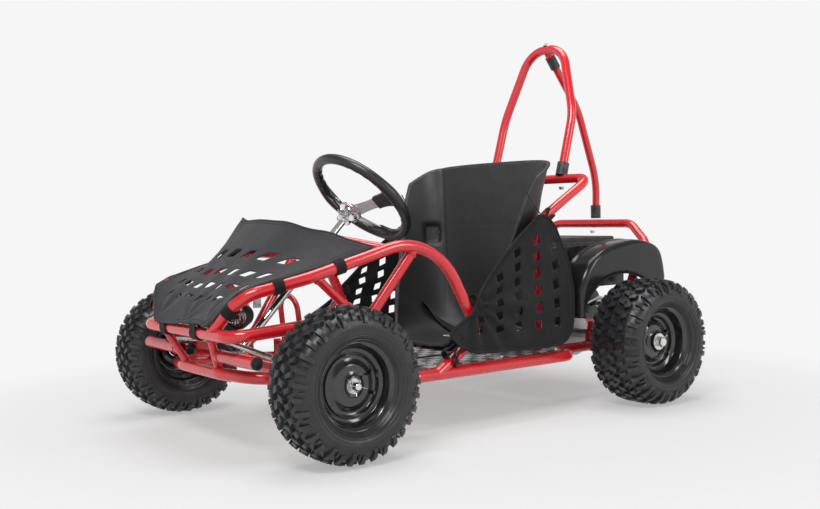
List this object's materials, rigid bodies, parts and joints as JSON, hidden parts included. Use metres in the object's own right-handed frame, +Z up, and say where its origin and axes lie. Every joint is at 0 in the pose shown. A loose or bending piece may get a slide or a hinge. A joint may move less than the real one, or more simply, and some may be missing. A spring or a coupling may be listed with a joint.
{
  "type": "kart chassis",
  "caption": "Small off-road kart with a red tube frame, knobbly wheels, direct steering, bucket seat, fabric hood, side nets and a chain-driven rear axle.",
  "frame": {"origin": "on the ground under the middle of the kart's overall length and width", "axes": "+Z up, -Y forwards, +X to the driver's left; the ground is z = 0"},
  "size_m": [0.927, 1.3964, 1.0015],
  "materials": {
    "frame_red": "glossy powder coat",
    "black_steel": "satin black paint",
    "rim_black": "gloss black paint",
    "black_plastic": "matte moulded",
    "gloss_black": "glossy moulded",
    "seat_plastic": "grained moulded",
    "zinc": "bright zinc",
    "chrome": "polished",
    "chain_steel": "oiled steel",
    "cast_alloy": "cast",
    "spoke_alloy": "satin",
    "checker_plate": "checker tread with dark squares",
    "tyre_rubber": "matte rubber",
    "grip_rubber": "soft satin",
    "cable_black": "satin",
    "hood_fabric": "charcoal woven",
    "net_fabric": "black woven",
    "lamp_lens": "ribbed clear"
  },
  "bodies": {
    "chassis": {"main_rails": "frame_red", "side_rails": "frame_red", "upper_bumper": "frame_red", "hood_rails": "frame_red", "hood_struts": "frame_red", "dash_hoop": "frame_red", "bumper_links": "frame_red", "crossbar_stubs": "frame_red", "stub_plugs": "black_plastic", "floor_cross_tubes": "frame_red", "seat_hoop": "frame_red", "roll_hoop": "frame_red", "rear_hoop": "frame_red", "rear_brace": "frame_red", "hoop_sleeves": "black_plastic", "hoop_bolts": "zinc", "column_support": "frame_red", "front_axle": "frame_red", "kingpins": "zinc", "bearing_plates": "frame_red", "axle_bearings": "zinc", "motor": "black_steel", "motor_mount": "frame_red", "drive_chain": "chain_steel", "brake_caliper": "cast_alloy", "pedal_shaft": "frame_red", "brake_cable": "cable_black", "floor_plate": "checker_plate", "floor_bolts": "zinc", "seat": "seat_plastic", "belt_buckle": "chrome", "hood_cover": "hood_fabric", "net_left": "net_fabric", "net_right": "net_fabric", "rear_fenders": "gloss_black", "battery_case": "gloss_black", "battery_lid": "black_plastic", "headlamp_shell": "black_plastic", "headlamp_lens": "lamp_lens", "headlamp_bracket": "zinc"},
    "steering": {"steering_column": "chrome", "steering_spokes": "spoke_alloy", "steering_grip": "grip_rubber"},
    "knuckle_left": {"knuckle_left": "black_steel"},
    "knuckle_right": {"knuckle_right": "black_steel"},
    "tie_rod_left": {"tie_rod_left": "zinc"},
    "tie_rod_right": {"tie_rod_right": "zinc"},
    "front_left_wheel": {"front_left_tyre": "tyre_rubber", "front_left_rim": "rim_black"},
    "front_right_wheel": {"front_right_tyre": "tyre_rubber", "front_right_rim": "rim_black"},
    "rear_axle": {"rear_axle": "chain_steel", "rear_nuts": "zinc", "rear_tyres": "tyre_rubber", "rear_rims": "rim_black", "axle_sprocket": "chain_steel", "brake_disc": "chain_steel"},
    "motor_rotor": {"motor_sprocket": "chain_steel"},
    "throttle": {"throttle_pedal": "frame_red"},
    "brake": {"brake_pedal": "frame_red"}
  },
  "joints": [
    {"name": "steering_turn", "type": "hinge", "parent": "chassis", "child": "steering", "pos_m": [0, -0.55454, 0.191], "axis": [0, 0.7071, 0.7071], "range_deg": [-32, 32]},
    {"name": "left_kingpin", "type": "hinge", "parent": "chassis", "child": "knuckle_left", "pos_m": [0.29, -0.51454, 0.165], "axis": [0, 0, 1], "range_deg": [-22, 22]},
    {"name": "right_kingpin", "type": "hinge", "parent": "chassis", "child": "knuckle_right", "pos_m": [-0.29, -0.51454, 0.165], "axis": [0, 0, 1], "range_deg": [-22, 22]},
    {"name": "left_rod_end", "type": "hinge", "parent": "knuckle_left", "child": "tie_rod_left", "pos_m": [0.262, -0.60054, 0.213], "axis": [0.3001, 0.035, 0.9533], "range_deg": [-30, 30]},
    {"name": "right_rod_end", "type": "hinge", "parent": "knuckle_right", "child": "tie_rod_right", "pos_m": [-0.262, -0.60054, 0.213], "axis": [-0.3001, 0.035, 0.9533], "range_deg": [-30, 30]},
    {"name": "front_left_spin", "type": "hinge", "parent": "knuckle_left", "child": "front_left_wheel", "pos_m": [0.3985, -0.51454, 0.165], "axis": [1, 0, 0], "continuous": true},
    {"name": "front_right_spin", "type": "hinge", "parent": "knuckle_right", "child": "front_right_wheel", "pos_m": [-0.3985, -0.51454, 0.165], "axis": [1, 0, 0], "continuous": true},
    {"name": "rear_axle_spin", "type": "hinge", "parent": "chassis", "child": "rear_axle", "pos_m": [0, 0.45546, 0.165], "axis": [1, 0, 0], "continuous": true},
    {"name": "motor_spin", "type": "hinge", "parent": "chassis", "child": "motor_rotor", "pos_m": [0.118, 0.56046, 0.24], "axis": [1, 0, 0], "continuous": true},
    {"name": "throttle_press", "type": "hinge", "parent": "chassis", "child": "throttle", "pos_m": [-0.12, -0.32954, 0.184], "axis": [1, 0, 0], "range_deg": [0, 20], "stiffness_Nm_per_rad": 4, "springref_deg": -8.59},
    {"name": "brake_press", "type": "hinge", "parent": "chassis", "child": "brake", "pos_m": [0.12, -0.32954, 0.184], "axis": [1, 0, 0], "range_deg": [0, 20], "stiffness_Nm_per_rad": 4, "springref_deg": -8.59}
  ],
  "couplings": [
    {"joint": "left_kingpin", "follows": "steering_turn", "ratio": 0.614},
    {"joint": "right_kingpin", "follows": "steering_turn", "ratio": 0.614},
    {"joint": "left_rod_end", "follows": "steering_turn", "ratio": -0.733},
    {"joint": "right_rod_end", "follows": "steering_turn", "ratio": -0.733},
    {"joint": "motor_spin", "follows": "rear_axle_spin", "ratio": 4}
  ]
}
